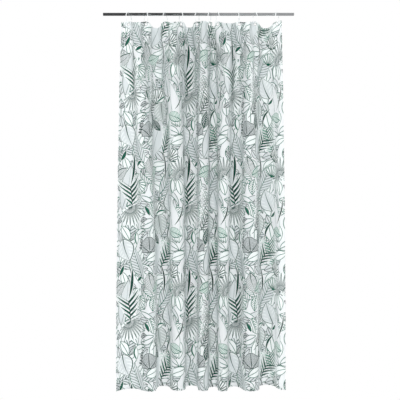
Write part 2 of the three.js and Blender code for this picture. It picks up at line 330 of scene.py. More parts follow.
def combine(tree, *values):
    node = tree.nodes.new("ShaderNodeCombineXYZ")
    for place, value in zip(node.inputs, values):
        feed(place, value)
    return Wire(tree, node.outputs[0])


def bump(tree, height, strength, distance, below=None):
    node = tree.nodes.new("ShaderNodeBump")
    node.inputs["Strength"].default_value = strength
    node.inputs["Distance"].default_value = distance
    feed(node.inputs["Height"], height)
    if below is not None:
        feed(node.inputs["Normal"], below)
    return Wire(tree, node.outputs[0])


def noise(tree, place, scale, detail):
    node = tree.nodes.new("ShaderNodeTexNoise")
    node.inputs["Scale"].default_value = scale
    node.inputs["Detail"].default_value = detail
    feed(node.inputs["Vector"], place)
    return Wire(tree, node.outputs[0])


KINDS = {"color": "NodeSocketColor", "vector": "NodeSocketVector", "value": "NodeSocketFloat"}


def new_group(name, inputs, outputs):
    """A shader node group: its tree, its inputs as wires, and a function that sets an output."""
    tree = bpy.data.node_groups.new(name, "ShaderNodeTree")
    for label, kind in inputs.items():
        tree.interface.new_socket(name=label, in_out="INPUT", socket_type=KINDS[kind])
    for label, kind in outputs.items():
        tree.interface.new_socket(name=label, in_out="OUTPUT", socket_type=KINDS[kind])
    start, end = tree.nodes.new("NodeGroupInput"), tree.nodes.new("NodeGroupOutput")
    wires = {label: Wire(tree, start.outputs[label]) for label in inputs}

    def put(label, wire):
        feed(end.inputs[label], wire)

    return tree, wires, put


def place_group(tree, group, **values):
    """The group placed in a tree, with inputs by name, their spaces written as underscores."""
    node = tree.nodes.new("ShaderNodeGroup")
    node.node_tree = group
    for label, value in values.items():
        feed(node.inputs[label.replace("_", " ").capitalize()], value)
    return {out.name: Wire(tree, out) for out in node.outputs}


# ---- the leaf print

PRINT_WIDTH = 0.600
PRINT_HEIGHT = 0.625

GROUND = linear(236, 238, 239)
PALE = linear(225, 229, 230)
WHITE = linear(240, 243, 243)
PALE_GREY = linear(208, 214, 213)
SAGE = linear(110, 170, 148)
GREEN = linear(32, 118, 96)
DARK = linear(14, 82, 68)
GREY = linear(84, 112, 106)
DARK_GREY = linear(30, 66, 60)
MARGIN = 2.5 * MM                # white left round a printed leaf
EDGE_WEIGHTS = (0.6, 0.9)        # a blade's outline on its fine side, and what its heavy side adds
FROND_SPAN = (0.12, 0.97)        # where a frond's leaflets begin and end along its stem
FROND_CLEARING = (1.08, 0.12)    # white round its leaflets: at their tips, and beside them
FAN_FOOT = 0.08                  # where a fan's ribs meet
BEAD_STEM = 0.9 * MM             # half the thickness of a beaded stem
STREWN_VEIN = (1.2, 0.28)        # slant and weight of the veins of the strewn leaves
STREWN_PLAIN = 0.62              # share of the strewn leaves that have no veins
LEAF_PLACE = ("X", "Y", "Angle", "Length", "Bend")


def leaf_frame_group():
    """Turns flat cloth into a leaf's own measure: Along from 0 at its foot to 1 at its tip, and
    Across in the same unit. The print repeats, so every leaf is found from the nearest repeat."""
    inputs = {"Flat": "vector", **dict.fromkeys(LEAF_PLACE, "value")}
    tree, wire, put = new_group("leaf frame", inputs, {"Along": "value", "Across": "value"})
    away = vector_node(tree, "SUBTRACT", wire["Flat"], combine(tree, wire["X"], wire["Y"]))
    half = (PRINT_WIDTH / 2, PRINT_HEIGHT / 2, 1.0)
    near = vector_node(tree, "WRAP", away, half, tuple(-h for h in half))
    cos, sin = wire["Angle"].math("COSINE"), wire["Angle"].math("SINE")
    along = dot(tree, near, combine(tree, cos, sin)) / wire["Length"] + 0.5
    across = dot(tree, near, combine(tree, sin * -1, cos)) / wire["Length"]
    put("Along", along)
    put("Across", across + along * along.less_from(1.0) * 4 * wire["Bend"])
    return tree


def leaf_group(name, leaf_frame, numbers, inks):
    """A group that prints one leaf over the colour under it, with the leaf's own measure."""
    inputs = {"Under": "color", "Flat": "vector", **dict.fromkeys((*LEAF_PLACE, *numbers), "value"),
              **dict.fromkeys(inks, "color")}
    tree, wire, put = new_group(name, inputs, {"Color": "color"})
    own = place_group(tree, leaf_frame, **{k.lower(): wire[k] for k in ("Flat", *LEAF_PLACE)})
    return tree, wire, put, own["Along"], own["Across"]


def blade_group(leaf_frame):
    """A pointed leaf: an outline heavier on one side, a midrib, slanting veins or slits that
    begin Vein start of the way out, and a white margin round it all."""
    numbers = ("Width", "Taper", "Line", "Rib", "Veins", "Slant", "Vein weight", "Vein start")
    inks = ("Ink", "Fill", "Vein ink")
    tree, wire, put, p, q = leaf_group("printed blade leaf", leaf_frame, numbers, inks)
    fine, heavier = EDGE_WEIGHTS
    side = q.abs()
    held = p.most(0).least(1)
    half = held * held.less_from(1.0) * 2 * wire["Width"] * (p.less_from(0.5) * wire["Taper"] + 1)
    depth = (half - side - (p - held).abs()) * wire["Length"]
    inside = depth > 0
    edge = depth < wire["Line"] * ((q > 0) * heavier + fine)
    rib = side < wire["Rib"] / wire["Length"] * p.less_from(1.15) * (half > 0.01)
    band = ((p - side * wire["Slant"]) * wire["Veins"]).fract()
    vein = (band < wire["Vein weight"]) * (side > half * wire["Vein start"])
    margin = paint(tree, depth > -MARGIN, wire["Under"], WHITE)
    filled = paint(tree, inside, margin, wire["Fill"])
    veined = paint(tree, vein * inside, filled, wire["Vein ink"])
    put("Color", paint(tree, edge.most(rib) * inside, veined, wire["Ink"]))
    return tree


def frond_group(leaf_frame):
    """A fern frond: a stem with solid leaflets that alternate from side to side."""
    numbers = ("Reach", "Leaflets", "Slant", "Fullness", "Stem")
    tree, wire, put, p, q = leaf_group("printed frond", leaf_frame, numbers, ("Ink", "Light ink"))
    begin, end = FROND_SPAN
    beyond, beside = FROND_CLEARING
    side = q.abs()
    foot = p - side * wire["Slant"]
    reach = wire["Reach"] * (foot.less_from(1.0) * foot.less_from(1.0)).less_from(1.15)
    out = side / reach.most(0.001)
    step = foot * wire["Leaflets"] + (q > 0) * 0.5
    off = (step.fract() - 0.5).abs()
    body = off < wire["Fullness"] * (out * out).less_from(1.0)
    on_stem = (foot > begin) * (foot < end)
    stem = (side < wire["Stem"] / wire["Length"]) * (p > 0) * (p < 0.98)
    leaflets = body * on_stem * (out < 1)
    cleared = on_stem * (out < beyond) * (off < wire["Fullness"] + beside)
    clear = paint(tree, cleared, wire["Under"], WHITE)
    lit = off < (out * 0.07)
    toned = paint(tree, (q > 0) * (step * 0.5).fract(), wire["Ink"], wire["Light ink"])
    leaves = paint(tree, leaflets, clear, toned)
    veined = paint(tree, lit * leaflets, leaves, wire["Light ink"])
    put("Color", paint(tree, stem, veined, wire["Ink"]))
    return tree


def fan_group(leaf_frame):
    """A round leaf split by slits from its edge, with ribs and fine hatching from its foot."""
    numbers = ("Spread", "Lobes", "Slit", "Depth", "Line", "Hatch", "Hatch weight")
    inks = ("Ink", "Fill", "Hatch ink")
    tree, wire, put, along, q = leaf_group("printed fan leaf", leaf_frame, numbers, inks)
    p = along - FAN_FOOT
    radius = (p * p + q * q).root()
    angle = q.math("ARCTAN2", p)
    swing = (angle / wire["Spread"]).abs()
    lobe = (angle * wire["Lobes"] + 0.5).fract() - 0.5
    rim = (swing * swing * 0.35).less_from(0.9) - (lobe * lobe) * 0.35
    inner = wire["Depth"]
    gap = (lobe.abs() > ((radius - inner).most(0) * wire["Slit"]).less_from(0.5)) * (radius > inner)
    depth = rim - radius
    inside = (depth > 0) * (swing < 1) * gap.less_from(1.0)
    line = wire["Line"] / wire["Length"]
    across = radius * lobe.abs().less_from(0.5) / wire["Lobes"]
    open_edge = (radius > inner) * (((radius - inner) * wire["Slit"] * radius / wire["Lobes"])
                                    .less_from(0) + across < line)
    side_edge = swing.less_from(1.0) * wire["Spread"] * radius < line
    edge = (depth < line).most(open_edge).most(side_edge)
    rib = (lobe.abs() * radius / wire["Lobes"] < line * 0.6) * (depth > 0.06)
    hatch = ((angle * wire["Hatch"]).fract() < wire["Hatch weight"]) * (radius > 0.16)
    margin = (depth * wire["Length"] > -MARGIN) * (swing < 1.03)
    filled = paint(tree, inside, paint(tree, margin, wire["Under"], WHITE), wire["Fill"])
    hatched = paint(tree, hatch * inside, filled, wire["Hatch ink"])
    put("Color", paint(tree, edge.most(rib) * inside, hatched, wire["Ink"]))
    return tree


def beads_group(leaf_frame):
    """A thin stem set with round beads on both sides."""
    tree, wire, put, p, q = leaf_group("printed beaded stem", leaf_frame, ("Beads", "Size", "Apart"),
                                       ("Ink",))
    span = (p > 0) * (p < 1)
    step = ((p * wire["Beads"]).fract() - 0.5) / wire["Beads"]
    beside = q.abs() - wire["Apart"] / wire["Length"]
    size = wire["Size"] / wire["Length"] * p.less_from(1.25)
    bead = (step * step + beside * beside) < size * size
    stem = (q.abs() * wire["Length"]) < BEAD_STEM
    put("Color", paint(tree, bead.most(stem) * span, wire["Under"], wire["Ink"]))
    return tree


def scatter_group(name, cells, lengths, width, veins, seed):
    """Small thin-lined leaves strewn one to a cell of the repeat, each turned its own way."""
    inputs = {"Under": "color", "Flat": "vector", "Shift": "vector", "Line": "value",
              "Ink": "color", "Fill": "color"}
    tree, wire, put = new_group(name, inputs, {"Color": "color"})
    across, up = cells
    moved = vector_node(tree, "ADD", wire["Flat"], wire["Shift"])
    scaled = vector_node(tree, "MULTIPLY", moved, (across / PRINT_WIDTH, up / PRINT_HEIGHT, 0))
    cell = vector_node(tree, "FLOOR", scaled)
    looped = vector_node(tree, "WRAP", cell, (across, up, 1), (0, 0, 0))
    key = vector_node(tree, "ADD", looped, (seed, seed * 2, 0))
    dice = tree.nodes.new("ShaderNodeTexWhiteNoise")
    dice.noise_dimensions = "3D"
    feed(dice.inputs["Vector"], key)
    roll = Wire(tree, dice.outputs["Color"])
    r, g, b = [dot(tree, roll, axis) for axis in Matrix.Identity(3)]
    own = vector_node(tree, "SUBTRACT", vector_node(tree, "FRACTION", scaled), (0.5, 0.5, 0))
    size = vector_node(tree, "MULTIPLY", own, (PRINT_WIDTH / across, PRINT_HEIGHT / up, 0))
    turn = tree.nodes.new("ShaderNodeVectorRotate")
    turn.rotation_type = "Z_AXIS"
    feed(turn.inputs["Vector"], size)
    feed(turn.inputs["Angle"], r * math.tau)
    x, y = split(tree, Wire(tree, turn.outputs[0]))
    length = g * (lengths[1] - lengths[0]) + lengths[0]
    p = x / length + 0.5
    q = (y / length + p * p.less_from(1.0) * (b - 0.5)).abs()
    half = p * p.less_from(1.0) * 2 * width
    depth = half - q
    inside = depth > 0
    line = wire["Line"] / length
    edge = (depth < line).most(q < line * 0.5)
    slant, weight = STREWN_VEIN
    vein = ((p - q * slant) * veins).fract() < weight
    ink = edge.most(vein * (b > STREWN_PLAIN))
    filled = paint(tree, inside, wire["Under"], wire["Fill"])
    put("Color", paint(tree, ink * inside, filled, wire["Ink"]))
    return tree


# Leaf looks: everything about a printed leaf but its place, angle and length.
def blade(width, taper, line, rib, ink, fill, veins=(1, 0.0, 0.0, 0.0), vein_ink=WHITE):
    count, slant, weight, start = veins
    return dict(width=width, taper=taper, line=line * MM, rib=rib * MM, ink=ink, fill=fill,
                veins=count, slant=slant, vein_weight=weight, vein_start=start, vein_ink=vein_ink)


BLADES = {
    "open oval": blade(0.42, 0.0, 5.5, 0.0, GREEN, WHITE),
    "chevron": blade(0.46, 0.3, 3.0, 3.0, DARK, DARK, (8, 1.3, 0.42, 0.0), PALE),
    "solid": blade(0.30, 0.2, 3.0, 0.0, DARK, GREEN),
    "stroke": blade(0.085, -0.6, 3.0, 0.0, DARK, DARK),
    "thin stroke": blade(0.05, 0.4, 2.0, 0.0, DARK_GREY, DARK_GREY),
    "plain": blade(0.38, 0.5, 2.4, 1.2, GREY, PALE),
    "plain green": blade(0.42, 0.4, 3.0, 1.5, GREEN, GROUND),
    "ribbed": blade(0.46, 0.4, 2.6, 2.0, GREEN, PALE, (10, 1.0, 0.2, 0.0), GREY),
    "striped": blade(0.56, 0.1, 3.0, 2.0, GREEN, WHITE, (11, 0.8, 0.4, 0.0), SAGE),
    "hatched": blade(0.52, 0.3, 3.6, 2.2, DARK, GROUND, (18, 0.5, 0.34, 0.1), GREY),
    "monstera": blade(0.80, 0.6, 3.6, 2.8, DARK, PALE, (6, 0.7, 0.34, 0.35), WHITE),
    "grey monstera": blade(0.76, 0.5, 2.6, 2.0, DARK_GREY, PALE_GREY, (7, 0.8, 0.3, 0.3), WHITE),
    "veined": blade(0.60, 0.5, 3.4, 2.6, GREEN, GROUND, (9, 1.2, 0.16, 0.0), GREEN),
}


def frond(reach, leaflets, slant, fullness, stem, ink, light_ink):
    return dict(reach=reach, leaflets=leaflets, slant=slant, fullness=fullness, stem=stem * MM,
                ink=ink, light_ink=light_ink)


def fan(spread, lobes, slit, depth, line, hatch, hatch_weight, ink, fill, hatch_ink):
    return dict(spread=spread, lobes=lobes, slit=slit, depth=depth, line=line * MM, hatch=hatch,
                hatch_weight=hatch_weight, ink=ink, fill=fill, hatch_ink=hatch_ink)


FRONDS = {
    "bold": frond(0.62, 5.0, 0.85, 0.30, 1.8, DARK, GREEN),
    "fine": frond(0.34, 12.0, 0.7, 0.26, 1.4, GREEN, SAGE),
    "grey": frond(0.4, 10.0, 0.9, 0.22, 1.4, DARK_GREY, GREY),
}
FANS = {
    "shell": fan(1.1, 3.4, 0.15, 0.8, 3.2, 3.4, 0.16, GREEN, WHITE, SAGE),
    "palm": fan(1.45, 4.2, 0.75, 0.25, 1.8, 8.4, 0.16, GREY, GROUND, GREY),
    "dense": fan(1.5, 1.2, 0.1, 0.9, 3.2, 12.0, 0.34, DARK_GREY, PALE, DARK_GREY),
    "petals": fan(1.25, 1.5, 0.3, 0.35, 4.2, 3.0, 0.12, DARK, WHITE, GREEN),
}
STEMS = {"beads": dict(beads=15.0, size=4 * MM, apart=6 * MM, ink=DARK_GREY)}

# Layers of strewn leaves under the drawn ones: size, shift and line in millimetres, ink, fill.
STREWN_LEAVES = [
    ("large", 0, 3.0, GREY, PALE),
    ("middling", 35, 3.6, GREEN, GROUND),
    ("small", 20, 2.8, DARK_GREY, PALE),
    ("middling", 90, 3.2, GREEN, WHITE),
]

# The repeat, from the lowest leaf to the topmost. Places are millimetres from the repeat's lower
# left corner, angles are degrees from level, and lengths are millimetres.
PRINTED_LEAVES = [
    ("plain", 60, 470, 80, 250, 0.05),
    ("plain green", 520, 300, 100, 250, -0.04),
    ("plain", 330, 120, 70, 250, 0.05),
    ("ribbed", 420, 520, 62, 190, 0.06),
    ("ribbed", 150, 60, 118, 190, -0.06),
    ("grey", 290, 300, 60, 180, 0.08),
    ("fine", 480, 90, 112, 180, -0.08),
    ("veined", 120, 400, 30, 130, 0.05),
    ("hatched", 250, 580, -70, 130, 0.08),
    ("grey monstera", 380, 270, -80, 130, 0.04),
    ("palm", 540, 570, 130, 130, 0.0),
    ("palm", 110, 320, -60, 120, 0.0),
    ("monstera", 70, 130, -70, 130, 0.05),
    ("monstera", 450, 400, 110, 130, -0.05),
    ("dense", 230, 160, 96, 95, 0.0),
    ("beads", 180, 250, 82, 230, 0.05),
    ("striped", 300, 560, 25, 110, 0.03),
    ("striped", 530, 225, 160, 100, 0.03),
    ("hatched", 20, 545, 40, 110, 0.04),
    ("stroke", 95, 570, 84, 170, 0.05),
    ("stroke", 450, 230, 66, 120, -0.14),
    ("thin stroke", 390, 590, 95, 180, 0.09),
    ("thin stroke", 560, 340, 70, 160, 0.11),
    ("chevron", 300, 210, 78, 100, 0.03),
    ("chevron", 345, 195, 128, 85, -0.03),
    ("shell", 480, 560, 72, 85, 0.0),
    ("shell", 170, 480, -35, 80, 0.0),
    ("petals", 340, 350, 100, 95, 0.0),
    ("petals", 510, 20, 60, 85, 0.0),
    ("open oval", 520, 480, 88, 85, 0.0),
    ("open oval", 130, 195, 94, 75, 0.0),
    ("open oval", 375, 335, 24, 65, 0.04),
    ("bold", 90, 420, 96, 120, 0.04),
    ("bold", 410, 70, 60, 100, -0.05),
    ("solid", 215, 345, 120, 60, 0.06),
    ("solid", 40, 20, 60, 65, 0.06),
    ("solid", 480, 325, 40, 50, 0.06),
    ("solid", 160, 600, 30, 55, -0.06),
]


def print_group():
    """The whole printed repeat: scattered thin leaves below, and the drawn leaves over them."""
    tree, wire, put = new_group("leaf print", {"Flat": "vector"}, {"Color": "color"})
    leaf_frame = leaf_frame_group()
    looks = {}
    for make_group, kinds in ((blade_group, BLADES), (frond_group, FRONDS), (fan_group, FANS),
                              (beads_group, STEMS)):
        group = make_group(leaf_frame)
        looks.update({name: (group, look) for name, look in kinds.items()})
    strewn = {
        "large": scatter_group("strewn large leaves", (4, 4), (0.13, 0.17), 0.44, 8, 3),
        "middling": scatter_group("strewn middling leaves", (6, 5), (0.09, 0.12), 0.5, 7, 5),
        "small": scatter_group("strewn small leaves", (7, 7), (0.05, 0.08), 0.5, 6, 11),
    }
    color = GROUND
    for size, shift, line, ink, fill in STREWN_LEAVES:
        color = place_group(tree, strewn[size], under=color, flat=wire["Flat"],
                            shift=(shift * MM, shift * MM, 0), line=line * MM, ink=ink,
                            fill=fill)["Color"]
    for name, x, y, angle, length, bend in PRINTED_LEAVES:
        group, look = looks[name]
        color = place_group(tree, group, under=color, flat=wire["Flat"], x=x * MM, y=y * MM,
                            angle=math.radians(angle), length=length * MM, bend=bend,
                            **look)["Color"]
    put("Color", color)
    return tree


# ---- materials

STITCH = 3.2 * MM
STITCHED = 0.72             # share of a stitch that is thread, the rest being gap
THREAD_REACH = 0.4 * MM     # half the thickness of the sewing thread
DENT_REACH = 3 * MM         # how far the cloth is drawn in beside it
STITCH_INSET = 2 * MM       # from the hem's inner fold to its stitches
WEAVE_THREAD = 0.45 * MM
SLUB_STRETCH = (900, 60, 1)

# Moulded plastics: two colours in screen values, roughness, light let through, and alpha.
PLASTICS = {
    "plug plastic": ((120, 122, 124), (96, 98, 100), 0.45, 0, 1),
    "ring plastic": ((246, 248, 248), (232, 236, 236), 0.22, 0.3, 1),
    "eyelet plastic": ((222, 226, 226), (206, 212, 211), 0.35, 0, 0.5),
}


def weave_group():
    """Plain weave of fine threads. Height is the threads, Shade their unevenness."""
    tree, wire, put = new_group("plain weave", {"Flat": "vector", "Thread": "value"},
                                {"Height": "value", "Shade": "value"})
    x, y = split(tree, wire["Flat"])
    across, up = x / wire["Thread"] * math.pi, y / wire["Thread"] * math.pi
    put("Height", (across.sin() * up.sin()) * 0.5 + 0.5)
    put("Shade", noise(tree, vector_node(tree, "MULTIPLY", wire["Flat"], SLUB_STRETCH), 1.0, 2.0))
    return tree


def stitch_group():
    """Rows of stitches. Gap is the distance from the row, Run the distance along it."""
    tree, wire, put = new_group("stitch row", {"Gap": "value", "Run": "value", "Stitch": "value"},
                                {"Thread": "value", "Dent": "value"})
    off = wire["Gap"].abs()
    on = (wire["Run"] / wire["Stitch"]).fract() < STITCHED
    put("Thread", (off < THREAD_REACH) * on)
    put("Dent", (off / DENT_REACH).least(1.0))
    return tree


def new_material(name):
    material = bpy.data.materials.new(name)
    material.use_nodes = True
    tree = material.node_tree
    return material, tree, tree.nodes["Principled BSDF"]


def set_plain(shader, **values):
    """Sets inputs that are the same all over, their spaces written as underscores."""
    for label, value in values.items():
        shader.inputs[label.replace("_", " ")].default_value = value


def object_place(tree):
    return Wire(tree, tree.nodes.new("ShaderNodeTexCoord").outputs["Object"])


def let_light_through(tree, shader, share, colour, normal=None):
    """Passes a share of the light through a thin wall."""
    through = tree.nodes.new("ShaderNodeBsdfTranslucent")
    feed(through.inputs["Color"], colour)
    if normal is not None:
        feed(through.inputs["Normal"], normal)
    both = mixed_shader(tree, share, shader, through)
    tree.links.new(both.outputs[0], tree.nodes["Material Output"].inputs["Surface"])


def hem_stitches(tree, stitch, x, y):
    """The sewing thread of the four hems, and how the cloth is drawn in beside it."""
    rows = ((y - (CLOTH_DROP - TOP_HEM + STITCH_INSET), x), (y - (BOTTOM_HEM - STITCH_INSET), x),
            (x - (SIDE_HEM - STITCH_INSET), y), (x - (FLAT_WIDTH - SIDE_HEM + STITCH_INSET), y))
    sewn = [place_group(tree, stitch, gap=gap, run=run, stitch=STITCH) for gap, run in rows]
    thread, dent = sewn[0]["Thread"], sewn[0]["Dent"]
    for row in sewn[1:]:
        thread, dent = thread.most(row["Thread"]), dent.least(row["Dent"])
    return thread, dent


def cloth_material(weave, stitch):
    """Printed polyester: the leaf print, plain weave, sewn hems, and some light let through."""
    material, tree, shader = new_material("printed cloth")
    uv = tree.nodes.new("ShaderNodeUVMap")
    uv.uv_map = "flat"
    flat = Wire(tree, uv.outputs[0])
    x, y = split(tree, flat)
    printed = place_group(tree, print_group(), flat=flat)["Color"]
    threads = place_group(tree, weave, flat=flat, thread=WEAVE_THREAD)
    thread, dent = hem_stitches(tree, stitch, x, y)
    shaded = paint(tree, (threads["Shade"] - 0.35) * 0.25, printed, PALE_GREY)
    sewn = paint(tree, thread * 0.8, shaded, GROUND)
    feed(shader.inputs["Base Color"], sewn)
    feed(shader.inputs["Roughness"], threads["Shade"] * 0.2 + 0.72)
    set_plain(shader, Sheen_Weight=0.12, Sheen_Roughness=0.4, Specular_IOR_Level=0.3)
    relief = bump(tree, threads["Height"], 0.5, 0.12 * MM)
    relief = bump(tree, dent, 0.6, 0.8 * MM, relief)
    relief = bump(tree, noise(tree, flat, 55.0, 2.0), 0.25, 1.5 * MM, relief)
    relief = bump(tree, thread, 0.5, 0.4 * MM, relief)
    feed(shader.inputs["Normal"], relief)
    let_light_through(tree, shader, THROUGH, sewn, relief)
    return material


def wear_group():
    """Fine scratches and handling marks, for metal and plastic."""
    tree, wire, put = new_group("fine wear", {"Place": "vector", "Along": "vector"},
                                {"Marks": "value", "Scratches": "value"})
    put("Marks", noise(tree, wire["Place"], 38.0, 4.0))
    stretched = vector_node(tree, "MULTIPLY", wire["Place"], wire["Along"])
    put("Scratches", noise(tree, stretched, 1.0, 3.0))
    return tree


def steel_material(wear):
    """Polished steel tube, brushed along its length, with faint handling marks."""
    material, tree, shader = new_material("rod steel")
    worn = place_group(tree, wear, place=object_place(tree), along=(14, 900, 900))
    steel = paint(tree, worn["Marks"], linear(176, 178, 180), linear(200, 202, 204))
    feed(shader.inputs["Base Color"], steel)
    set_plain(shader, Metallic=1.0)
    feed(shader.inputs["Roughness"], worn["Scratches"] * 0.12 + worn["Marks"] * 0.08 + 0.12)
    feed(shader.inputs["Normal"], bump(tree, worn["Scratches"], 0.15, 0.1 * MM))
    return material


def plastic_material(wear, name):
    """Moulded plastic with a faint unevenness."""
    material, tree, shader = new_material(name)
    base, tint, rough, clear, alpha = PLASTICS[name]
    worn = place_group(tree, wear, place=object_place(tree), along=(220, 220, 220))
    feed(shader.inputs["Base Color"],
         paint(tree, worn["Marks"] * 0.5, linear(*base), linear(*tint)))
    feed(shader.inputs["Roughness"], worn["Scratches"] * 0.15 + rough)
    feed(shader.inputs["Normal"], bump(tree, worn["Marks"], 0.1, 0.2 * MM))
    set_plain(shader, Coat_Weight=0.2, Alpha=alpha)
    if clear:
        let_light_through(tree, shader, clear, linear(*base))
    return material


# ---- plan of the folds

def eyelet_arc(ring):
    return EDGE_MARGIN + ring * PITCH


def header_crests():
    """(flat place, place along the rod) of every crest at the top of the cloth."""
    crests = [(HEADER_FIRST_CREST[0], RING_X[0] - HEADER_FIRST_CREST[1])]
    for gap in range(len(RINGS) - 1):
        if gap == SQUARE_EYELET:
            crests.append((eyelet_arc(gap), RING_X[gap]))
        crests.append((eyelet_arc(gap) + PITCH / 2, (RING_X[gap] + RING_X[gap + 1]) / 2))
    return crests


def header_turns(crests):
    """Where the cloth turns from one crest to the next at the top: the eyelets, mostly."""
    turns = []
    for a, b in zip(crests, crests[1:]):
        ring = [n for n, x in enumerate(RING_X) if a[0] + MM < eyelet_arc(n) < b[0] - MM]
        half_way = ((a[0] + b[0]) / 2, (a[1] + b[1]) / 2)
        turns.append((eyelet_arc(ring[0]), RING_X[ring[0]]) if ring else half_way)
    return turns + [(eyelet_arc(len(RINGS) - 1), RING_X[-1])]


def knots_at(level):
    """Rows of (flat place, place along the rod, is a crest, side) with level 0 at the top."""
    fall = 1 - (1 - level) ** HEM_PULL
    top_crests = header_crests()
    top_turns = header_turns(top_crests)
    hem = [(s * FLAT_WIDTH, HEM_LEFT + x * (HEM_RIGHT - HEM_LEFT)) for s, x, _ in HEM_CRESTS]
    ends = hem[1:] + [(FLAT_WIDTH, HEM_RIGHT)]
    hem_turns = [((a[0] + b[0]) / 2, (a[1] + b[1]) / 2) for a, b in zip(hem, ends)]
    top_edges = (RING_X[0] - HEADER_EDGES[0], RING_X[-1] + HEADER_EDGES[1])

    def mixed(top, bottom):
        return top + (bottom - top) * fall

    def knot(top, bottom, *rest):
        return (mixed(top[0], bottom[0]), mixed(top[1], bottom[1]), *rest)

    knots = [(0.0, mixed(top_edges[0], HEM_LEFT), False, 1)]
    for n, (_, _, side) in enumerate(HEM_CRESTS):
        knots.append(knot(top_crests[n], hem[n], True, side))
        knots.append(knot(top_turns[n], hem_turns[n], False, side))
    knots.append((FLAT_WIDTH, mixed(top_edges[1], HEM_RIGHT), True, -1))
    return knots


def fold_angle(share, amount, pinch):
    wave = np.sin(share * math.pi / 2) + pinch * np.sin(share * math.pi * 1.5)
    return np.minimum(amount * wave, STEEPEST)


def fold_amounts(ratios, pinch):
    """How far each fold swings, so that its cloth spans a width that is ratio times its length."""
    share = (np.arange(FOLD_SAMPLES) + 0.5) / FOLD_SAMPLES
    low, high = np.zeros(len(ratios)), np.full(len(ratios), MOST_FOLD)
    for _ in range(FOLD_ROUNDS):
        amount = (low + high) / 2
        span = np.cos(fold_angle(share[None], amount[:, None], pinch)).mean(1)
        wide = span > ratios
        low, high = np.where(wide, amount, low), np.where(wide, high, amount)
    return low


def softened(values, reach):
    padded = np.pad(values, reach, mode="edge")
    return np.convolve(padded, np.ones(2 * reach + 1) / (2 * reach + 1), mode="valid")


def held_flat(angles, s, level):
    """The cloth runs straight through each eyelet, as its ring holds it."""
    hold = max(0.0, 1 - level * CLOTH_DROP / (HOLD_HEMS * TOP_HEM))
    for ring, turn in enumerate(EYELET_TURN):
        near = np.clip(HOLD_END - np.abs(s - eyelet_arc(ring)) / HOLD_FADE, 0, 1) * hold
        angles = angles * (1 - near) + turn * near
    return angles


def plan_row(level):
    """One row of cloth seen from above: arrays of flat place, x and y, with x always growing."""
    knots = knots_at(level)
    pinch = HEADER_PINCH * max(0.0, 1 - level / PINCH_LEVEL)
    count = round(FLAT_WIDTH / SAMPLE)
    s = (np.arange(count) + 0.5) * SAMPLE
    places = np.array([k[0] for k in knots])
    widths = np.diff(places)
    amounts = fold_amounts(np.diff([k[1] for k in knots]) / widths, pinch)
    n = np.clip(np.searchsorted(places, s, side="right") - 1, 0, len(widths) - 1)
    from_crest = np.array([k[2] for k in knots[:-1]])[n]
    sides = np.array([(a[3] if a[2] else b[3]) for a, b in zip(knots, knots[1:])])[n]
    share = (s - places[n]) / widths[n]
    share = np.where(from_crest, share, 1 - share)
    heading = np.where(from_crest, -sides, sides)
    angles = softened(heading * fold_angle(share, amounts[n], pinch), SOFTEN_REACH)
    angles = held_flat(angles, s, level)
    edges = np.concatenate([[0], np.cumsum(np.full(count, SAMPLE))])
    x = np.concatenate([[0], np.cumsum(np.cos(angles) * SAMPLE)])
    y = np.concatenate([[0], np.cumsum(np.sin(angles) * SAMPLE)])
    x += np.interp(edges, places, [k[1] - np.interp(k[0], edges, x) for k in knots])
    arcs = [eyelet_arc(ring) for ring in range(len(RINGS))]
    held = np.interp(edges, arcs, [-np.interp(a, edges, y) for a in arcs])
    hold = max(0.0, 1 - level / HOLD_LEVEL)
    y += -y.mean() * (1 - hold) + held * hold
    return edges, x, y


def wave(kind, s, fall):
    along, down = WAVES[kind]
    return np.sin(s * along + fall * down)


def ripple(s, fall):
    """Small dents in the hanging cloth, as a distance out of its own surface."""
    warp = WARPS[0] * wave("drift", s, fall) + WARPS[1] * wave("cross drift", s, fall)
    long_waves = wave("long", s + warp, fall) * wave("long swell", s, fall) * LONG_RIPPLE
    short_waves = wave("short", s - warp, fall) * wave("short swell", s, fall) * SHORT_RIPPLE
    return (long_waves + short_waves) * np.clip(fall / SLACK_DEPTH, 0, 1)


# ---- cloth pieces

TOP_ROW_STEP = 2.5 * MM
HEM_ROW_STEP = 1 * MM
OPEN_ROW_START = 8 * MM
OPEN_ROWS = 190
SEAM_COLUMNS = (0, 0.3, 2.5, 5, 7.5, 10, 12.5)      # millimetres from a seam
OPEN_COLUMNS = 42
EDGE_COLUMNS = (*np.linspace(0, 0.8, 14), 0.87, 0.93, 0.97, 0.995, 1.0)
HALF_SLOPE = 2 * MM          # half the length over which the cloth's slope is taken
HOLE_INSET = 2.4 * MM        # of the cut edge inside the flange's rim
BEYOND = 9                   # a place past either end of the rod


def row_depths():
    """Distances below the top edge of the rows of the mesh: close at the eyelets and hems."""
    low_hem = CLOTH_DROP - BOTTOM_HEM
    between = np.linspace(TOP_HEM + OPEN_ROW_START, low_hem - OPEN_ROW_START, OPEN_ROWS)
    return np.array(sorted([*np.arange(0, TOP_HEM, TOP_ROW_STEP), TOP_HEM, TOP_HEM + HEM_ROW_STEP,
                            *between, low_hem - HEM_ROW_STEP, low_hem, CLOTH_DROP]))


def column_shares(width):
    """Places across a piece, as shares, close together at both seams."""
    close = np.array(SEAM_COLUMNS) * MM / width
    wide = np.linspace(close[-1], 1 - close[-1], OPEN_COLUMNS)[1:-1]
    return np.concatenate([close, wide, 1 - close[::-1]])


